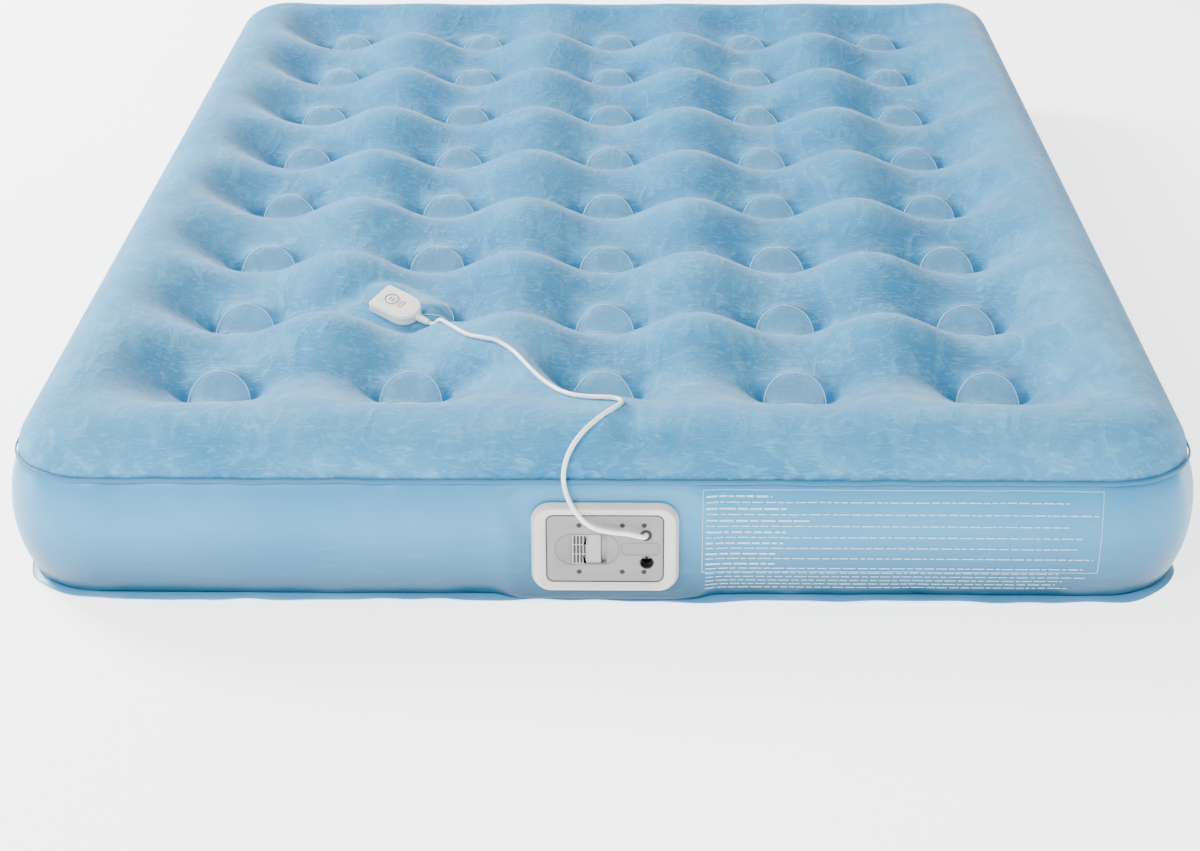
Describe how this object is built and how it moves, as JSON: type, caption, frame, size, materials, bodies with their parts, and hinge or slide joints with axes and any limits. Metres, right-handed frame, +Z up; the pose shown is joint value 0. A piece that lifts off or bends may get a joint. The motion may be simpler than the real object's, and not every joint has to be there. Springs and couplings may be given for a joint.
{
  "type": "air mattress",
  "caption": "Double air bed with a flocked, dimpled top over coil webs, vinyl walls, a built-in pump panel and a corded remote handset.",
  "frame": {"origin": "centre of the bed's footprint, on the floor", "axes": "+Z up, +Y towards the head end, so the pump panel is at the -Y end and +X is to the right of someone who faces it"},
  "size_m": [1.37, 1.9257, 0.2208],
  "materials": {
    "flocked_top": "short flocked pile, brushed",
    "wall_vinyl": "satin vinyl film",
    "base_vinyl": "matt vinyl film",
    "seam_vinyl": "welded vinyl edge",
    "hem_vinyl": "welded vinyl flange",
    "coil_vinyl": "vinyl web",
    "collar_vinyl": "satin vinyl film",
    "tub_plastic": "moulded",
    "black_rubber": "moulded rubber",
    "bezel_plastic": "fine spark texture",
    "plate_plastic": "fine spark texture",
    "badge_plastic": "satin",
    "slider_plastic": "fine spark texture",
    "screw_steel": "zinc plated",
    "black_plastic": "moulded",
    "contact_brass": "plain",
    "fan_plastic": "moulded",
    "shaft_steel": "ground",
    "winding_copper": "varnished winding",
    "magnet_dark": "ferrite",
    "can_steel": "drawn can",
    "board_green": "solder mask",
    "relay_blue": "moulded case",
    "lead_red": "insulation",
    "flap_rubber": "soft moulding",
    "handset_plastic": "satin",
    "cord_vinyl": "soft vinyl"
  },
  "bodies": {
    "root": {"top_sheet": "flocked_top", "side_wall": "wall_vinyl", "bottom_sheet": "base_vinyl", "top_seam": "seam_vinyl", "bottom_hem": "hem_vinyl", "top_weld_discs": "coil_vinyl", "bottom_weld_discs": "coil_vinyl", "coil_row_1": "coil_vinyl", "coil_row_2": "coil_vinyl", "coil_row_3": "coil_vinyl", "coil_row_4": "coil_vinyl", "coil_row_5": "coil_vinyl", "coil_row_6": "coil_vinyl", "coil_row_7": "coil_vinyl", "coil_row_8": "coil_vinyl", "pump_weld_flange": "collar_vinyl", "pump_tub": "tub_plastic", "bezel_gasket": "black_rubber", "pump_bezel": "bezel_plastic", "faceplate": "plate_plastic", "housing_screws": "screw_steel", "badge_plate": "badge_plastic", "cord_grommet": "black_rubber", "power_inlet": "black_plastic", "inlet_pins": "contact_brass", "slider_guide": "tub_plastic", "fan_shroud": "fan_plastic", "motor_magnets": "magnet_dark", "motor_can": "can_steel", "motor_end_cap": "black_plastic", "motor_bushes": "contact_brass", "motor_bracket": "can_steel", "control_board": "board_green", "relay": "relay_blue", "capacitor": "black_plastic", "transformer": "winding_copper", "terminal_block": "board_green", "motor_leads": "lead_red", "valve_seat": "tub_plastic", "valve_gasket": "black_rubber", "valve_hinge_pin": "shaft_steel", "valve_spring": "shaft_steel", "handset_top_shell": "handset_plastic", "handset_bottom_shell": "handset_plastic", "handset_switch": "black_plastic", "handset_board": "board_green", "handset_screws": "screw_steel", "handset_strain_relief": "cord_vinyl", "remote_cord": "cord_vinyl"},
    "fan_rotor": {"impeller": "fan_plastic", "motor_shaft": "shaft_steel", "motor_rotor": "winding_copper"},
    "mode_slider": {"mode_slider": "slider_plastic"},
    "valve_flap": {"valve_flap": "flap_rubber"},
    "handset_button": {"handset_button": "handset_plastic"}
  },
  "joints": [
    {"name": "fan_spin", "type": "hinge", "parent": "root", "child": "fan_rotor", "pos_m": [-0.014, -0.895, 0.078], "axis": [0, 1, 0], "continuous": true},
    {"name": "mode_slide", "type": "slide", "parent": "root", "child": "mode_slider", "axis": [1, 0, 0], "range_m": [0, 0.006]},
    {"name": "valve_swing", "type": "hinge", "parent": "root", "child": "valve_flap", "pos_m": [0.046, -0.8274, 0.1025], "axis": [1, 0, 0], "range_deg": [0, 60], "stiffness_Nm_per_rad": 0.002, "springref_deg": -28.65},
    {"name": "button_press", "type": "slide", "parent": "root", "child": "handset_button", "axis": [0, 0.3584, -0.9336], "range_m": [0, 0.0015], "stiffness_N_per_m": 800, "springref_m": -0.0005}
  ]
}
